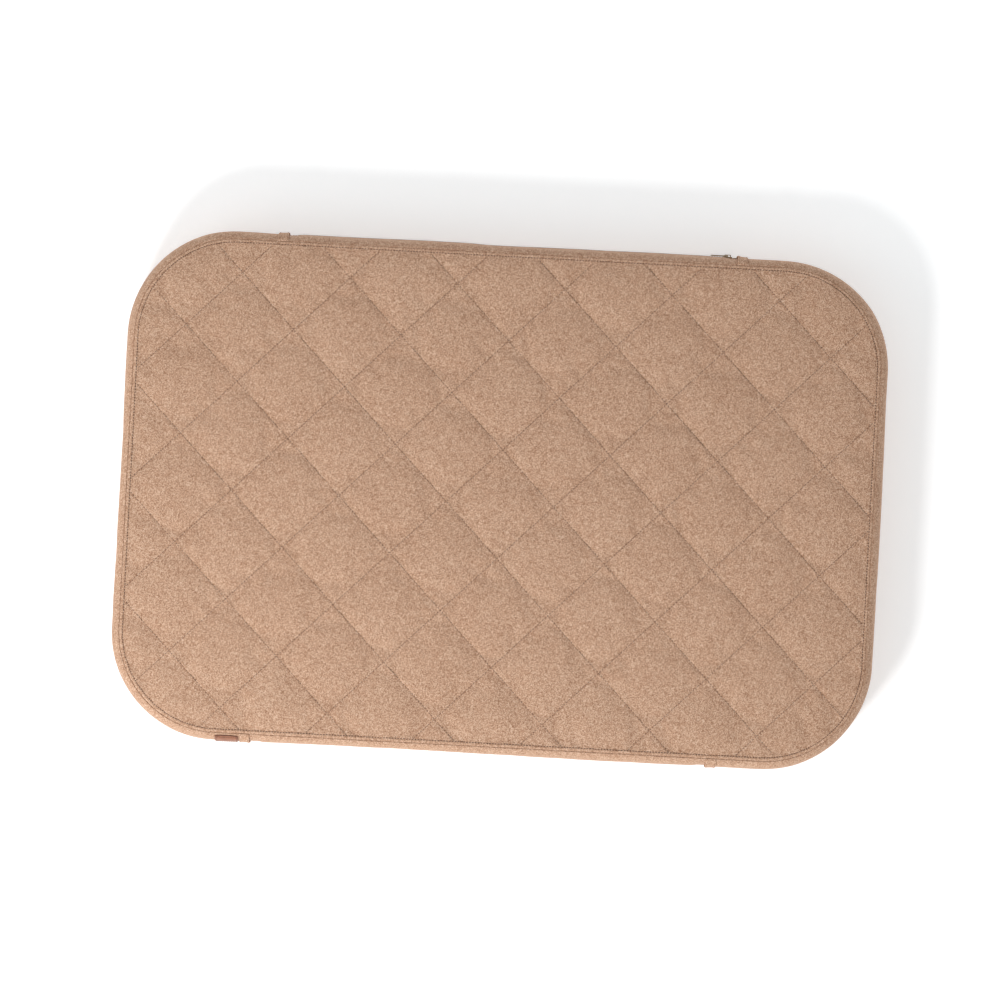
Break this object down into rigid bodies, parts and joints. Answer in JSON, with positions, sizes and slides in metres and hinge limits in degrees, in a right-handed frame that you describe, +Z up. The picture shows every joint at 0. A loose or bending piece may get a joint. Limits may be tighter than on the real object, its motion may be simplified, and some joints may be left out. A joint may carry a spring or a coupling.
{
  "type": "pet cushion bed",
  "caption": "Low rectangular pet bed: a quilted, zipped fabric cover with rounded corners over a lined foam core, for a large dog to lie on.",
  "frame": {"origin": "on the floor under the middle of the bed", "axes": "+X along the length to the right, +Y to the rear long side with the zip, +Z up; the leather patch is on the -Y side"},
  "size_m": [1.067, 0.7193, 0.1024],
  "materials": {
    "top_fabric": "matte",
    "side_fabric": "matte",
    "tab_fabric": "matte",
    "batting": "matte",
    "backing": "matte",
    "base_fabric": "matte",
    "patch_leather": "satin",
    "thread": "matte",
    "zip_tape": "matte",
    "zip_coil": "satin",
    "zip_metal": "satin",
    "liner_fabric": "satin",
    "liner_zip_tape": "matte",
    "liner_zip_coil": "satin",
    "liner_zip_metal": "satin",
    "comfort_foam": "matte",
    "support_foam": "matte"
  },
  "bodies": {
    "bed": {"top_face": "top_fabric", "top_batting": "batting", "top_backing": "backing", "left_end_band": "side_fabric", "right_end_band": "side_fabric", "front_band": "side_fabric", "rear_upper_band": "side_fabric", "rear_lower_band": "side_fabric", "front_left_tab": "tab_fabric", "front_right_tab": "tab_fabric", "rear_left_tab": "tab_fabric", "rear_right_tab": "tab_fabric", "bottom_panel": "base_fabric", "label_patch": "patch_leather", "quilting_thread": "thread", "edge_thread": "thread", "patch_thread": "thread", "zip_upper_tape": "zip_tape", "zip_lower_tape": "zip_tape", "zip_upper_coil": "zip_coil", "zip_lower_coil": "zip_coil", "zip_top_stops": "zip_metal", "zip_bottom_stop": "zip_metal", "liner_top": "liner_fabric", "liner_bottom": "liner_fabric", "liner_upper_tape": "liner_zip_tape", "liner_lower_tape": "liner_zip_tape", "liner_upper_coil": "liner_zip_coil", "liner_lower_coil": "liner_zip_coil", "liner_top_stops": "liner_zip_metal", "liner_bottom_stop": "liner_zip_metal", "foam_comfort_layer": "comfort_foam", "foam_support_layer": "support_foam"},
    "zip_slider": {"zip_slider": "zip_metal"},
    "zip_pull": {"zip_pull": "zip_metal"},
    "liner_slider": {"liner_slider": "liner_zip_metal"}
  },
  "joints": [
    {"name": "zip_slide", "type": "slide", "parent": "bed", "child": "zip_slider", "axis": [-1, 0, 0], "range_m": [0, 0.5894]},
    {"name": "zip_pull_swing", "type": "hinge", "parent": "zip_slider", "child": "zip_pull", "pos_m": [0.3007, 0.3586, 0.048], "axis": [0, 0, -1], "range_deg": [0, 160]},
    {"name": "liner_zip_slide", "type": "slide", "parent": "bed", "child": "liner_slider", "axis": [-1, 0, 0], "range_m": [0, 0.5754]}
  ]
}
